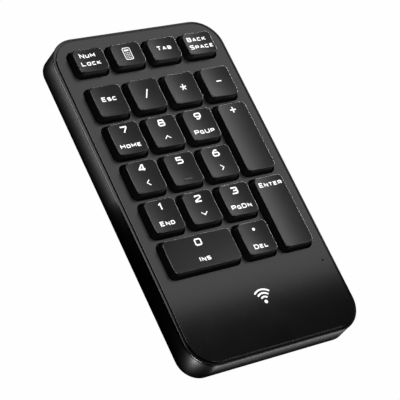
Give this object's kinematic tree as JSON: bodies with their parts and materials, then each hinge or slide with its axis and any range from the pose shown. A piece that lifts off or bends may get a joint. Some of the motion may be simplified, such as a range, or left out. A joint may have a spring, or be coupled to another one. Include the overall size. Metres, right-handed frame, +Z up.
{
  "type": "numeric keypad",
  "caption": "Free-standing wireless numeric keypad with sprung keycaps over rubber domes, a battery door and a stowed nano receiver.",
  "frame": {"origin": "on the desk plane under the centre of the case, where the feet's undersides stand", "axes": "+Z up from the desk, +Y to the back of the keypad along its length, +X to its right"},
  "size_m": [0.0886, 0.1596, 0.0182],
  "materials": {
    "deck_plastic": "fine-textured satin black moulding",
    "base_plastic": "fine-textured black moulding",
    "key_plastic": "satin black keycap moulding with pale legends",
    "white_plastic": "natural white moulding",
    "foot_rubber": "matt black rubber",
    "silicone": "translucent grey silicone",
    "film": "printed polyester film",
    "steel": "zinc-plated steel",
    "screw_steel": "black-plated steel",
    "nickel": "nickel-plated spring steel",
    "gold": "gold-plated contacts",
    "board": "solder-masked glass-epoxy laminate",
    "chip_epoxy": "moulded epoxy package",
    "clear_plastic": "clear acrylic",
    "cell_label": "plain printed sleeve",
    "lead_red": "insulated wire",
    "lead_black": "insulated wire"
  },
  "bodies": {
    "case": {"top_case": "deck_plastic", "bottom_case": "base_plastic", "rubber_feet": "foot_rubber", "case_screws": "screw_steel", "key_frame": "white_plastic", "frame_screws": "steel", "dome_sheet": "silicone", "membrane_upper": "film", "membrane_spacer": "film", "membrane_lower": "film", "support_plate": "steel", "circuit_board": "board", "board_screws": "steel", "tail_clamp": "base_plastic", "clamp_screws": "steel", "controller_chip": "chip_epoxy", "timing_crystal": "nickel", "indicator_led": "clear_plastic", "light_pipe": "clear_plastic", "power_switch_body": "chip_epoxy", "battery_cell_back": "cell_label", "battery_cell_front": "cell_label", "battery_link_contact": "nickel", "battery_positive_contact": "nickel", "battery_negative_contact": "nickel", "battery_lead_positive": "lead_red", "battery_lead_negative": "lead_black"},
    "key_num_lock": {"key_num_lock": "key_plastic"},
    "key_calculator": {"key_calculator": "key_plastic"},
    "key_tab": {"key_tab": "key_plastic"},
    "key_backspace": {"key_backspace": "key_plastic"},
    "key_escape": {"key_escape": "key_plastic"},
    "key_divide": {"key_divide": "key_plastic"},
    "key_multiply": {"key_multiply": "key_plastic"},
    "key_minus": {"key_minus": "key_plastic"},
    "key_7": {"key_7": "key_plastic"},
    "key_8": {"key_8": "key_plastic"},
    "key_9": {"key_9": "key_plastic"},
    "key_plus": {"key_plus": "key_plastic"},
    "key_4": {"key_4": "key_plastic"},
    "key_5": {"key_5": "key_plastic"},
    "key_6": {"key_6": "key_plastic"},
    "key_1": {"key_1": "key_plastic"},
    "key_2": {"key_2": "key_plastic"},
    "key_3": {"key_3": "key_plastic"},
    "key_enter": {"key_enter": "key_plastic"},
    "key_0": {"key_0": "key_plastic"},
    "key_decimal": {"key_decimal": "key_plastic"},
    "stabiliser_plus": {"stabiliser_plus": "steel"},
    "stabiliser_enter": {"stabiliser_enter": "steel"},
    "stabiliser_0": {"stabiliser_0": "steel"},
    "battery_door": {"battery_door": "base_plastic"},
    "power_switch_knob": {"power_switch_knob": "base_plastic"},
    "receiver": {"receiver_cap": "base_plastic", "receiver_shell": "nickel", "receiver_tongue": "chip_epoxy", "receiver_contacts": "gold"}
  },
  "joints": [
    {"name": "key_num_lock_press", "type": "slide", "parent": "case", "child": "key_num_lock", "axis": [0, 0, -1], "range_m": [0, 0.0026], "stiffness_N_per_m": 250, "deforming": ["dome_sheet"]},
    {"name": "key_calculator_press", "type": "slide", "parent": "case", "child": "key_calculator", "axis": [0, 0, -1], "range_m": [0, 0.0026], "stiffness_N_per_m": 250, "deforming": ["dome_sheet"]},
    {"name": "key_tab_press", "type": "slide", "parent": "case", "child": "key_tab", "axis": [0, 0, -1], "range_m": [0, 0.0026], "stiffness_N_per_m": 250, "deforming": ["dome_sheet"]},
    {"name": "key_backspace_press", "type": "slide", "parent": "case", "child": "key_backspace", "axis": [0, 0, -1], "range_m": [0, 0.0026], "stiffness_N_per_m": 250, "deforming": ["dome_sheet"]},
    {"name": "key_escape_press", "type": "slide", "parent": "case", "child": "key_escape", "axis": [0, 0, -1], "range_m": [0, 0.0026], "stiffness_N_per_m": 250, "deforming": ["dome_sheet"]},
    {"name": "key_divide_press", "type": "slide", "parent": "case", "child": "key_divide", "axis": [0, 0, -1], "range_m": [0, 0.0026], "stiffness_N_per_m": 250, "deforming": ["dome_sheet"]},
    {"name": "key_multiply_press", "type": "slide", "parent": "case", "child": "key_multiply", "axis": [0, 0, -1], "range_m": [0, 0.0026], "stiffness_N_per_m": 250, "deforming": ["dome_sheet"]},
    {"name": "key_minus_press", "type": "slide", "parent": "case", "child": "key_minus", "axis": [0, 0, -1], "range_m": [0, 0.0026], "stiffness_N_per_m": 250, "deforming": ["dome_sheet"]},
    {"name": "key_7_press", "type": "slide", "parent": "case", "child": "key_7", "axis": [0, 0, -1], "range_m": [0, 0.0026], "stiffness_N_per_m": 250, "deforming": ["dome_sheet"]},
    {"name": "key_8_press", "type": "slide", "parent": "case", "child": "key_8", "axis": [0, 0, -1], "range_m": [0, 0.0026], "stiffness_N_per_m": 250, "deforming": ["dome_sheet"]},
    {"name": "key_9_press", "type": "slide", "parent": "case", "child": "key_9", "axis": [0, 0, -1], "range_m": [0, 0.0026], "stiffness_N_per_m": 250, "deforming": ["dome_sheet"]},
    {"name": "key_plus_press", "type": "slide", "parent": "case", "child": "key_plus", "axis": [0, 0, -1], "range_m": [0, 0.0026], "stiffness_N_per_m": 280, "deforming": ["dome_sheet"]},
    {"name": "key_4_press", "type": "slide", "parent": "case", "child": "key_4", "axis": [0, 0, -1], "range_m": [0, 0.0026], "stiffness_N_per_m": 250, "deforming": ["dome_sheet"]},
    {"name": "key_5_press", "type": "slide", "parent": "case", "child": "key_5", "axis": [0, 0, -1], "range_m": [0, 0.0026], "stiffness_N_per_m": 250, "deforming": ["dome_sheet"]},
    {"name": "key_6_press", "type": "slide", "parent": "case", "child": "key_6", "axis": [0, 0, -1], "range_m": [0, 0.0026], "stiffness_N_per_m": 250, "deforming": ["dome_sheet"]},
    {"name": "key_1_press", "type": "slide", "parent": "case", "child": "key_1", "axis": [0, 0, -1], "range_m": [0, 0.0026], "stiffness_N_per_m": 250, "deforming": ["dome_sheet"]},
    {"name": "key_2_press", "type": "slide", "parent": "case", "child": "key_2", "axis": [0, 0, -1], "range_m": [0, 0.0026], "stiffness_N_per_m": 250, "deforming": ["dome_sheet"]},
    {"name": "key_3_press", "type": "slide", "parent": "case", "child": "key_3", "axis": [0, 0, -1], "range_m": [0, 0.0026], "stiffness_N_per_m": 250, "deforming": ["dome_sheet"]},
    {"name": "key_enter_press", "type": "slide", "parent": "case", "child": "key_enter", "axis": [0, 0, -1], "range_m": [0, 0.0026], "stiffness_N_per_m": 280, "deforming": ["dome_sheet"]},
    {"name": "key_0_press", "type": "slide", "parent": "case", "child": "key_0", "axis": [0, 0, -1], "range_m": [0, 0.0026], "stiffness_N_per_m": 280, "deforming": ["dome_sheet"]},
    {"name": "key_decimal_press", "type": "slide", "parent": "case", "child": "key_decimal", "axis": [0, 0, -1], "range_m": [0, 0.0026], "stiffness_N_per_m": 250, "deforming": ["dome_sheet"]},
    {"name": "stabiliser_plus_turn", "type": "hinge", "parent": "case", "child": "stabiliser_plus", "pos_m": [0.02937, 0.01628, 0.0117], "axis": [0, -1, 0], "range_deg": [0, 25.2]},
    {"name": "stabiliser_enter_turn", "type": "hinge", "parent": "case", "child": "stabiliser_enter", "pos_m": [0.02937, -0.02183, 0.0117], "axis": [0, -1, 0], "range_deg": [0, 25.2]},
    {"name": "stabiliser_0_turn", "type": "hinge", "parent": "case", "child": "stabiliser_0", "pos_m": [-0.01905, -0.03215, 0.0117], "axis": [-1, 0, 0], "range_deg": [0, 25.2]},
    {"name": "battery_door_tilt", "type": "hinge", "parent": "case", "child": "battery_door", "pos_m": [-0.0125, -0.0492, 0.0008], "axis": [1, 0, 0], "range_deg": [0, 60]},
    {"name": "power_switch_slide", "type": "slide", "parent": "case", "child": "power_switch_knob", "axis": [1, 0, 0], "range_m": [0, 0.002]},
    {"name": "receiver_lift_out", "type": "slide", "parent": "case", "child": "receiver", "axis": [0, 0, -1], "range_m": [0, 0.008]}
  ],
  "couplings": [
    {"joint": "stabiliser_plus_turn", "follows": "key_plus_press", "rad_per_m": 168},
    {"joint": "stabiliser_enter_turn", "follows": "key_enter_press", "rad_per_m": 168},
    {"joint": "stabiliser_0_turn", "follows": "key_0_press", "rad_per_m": 168}
  ]
}
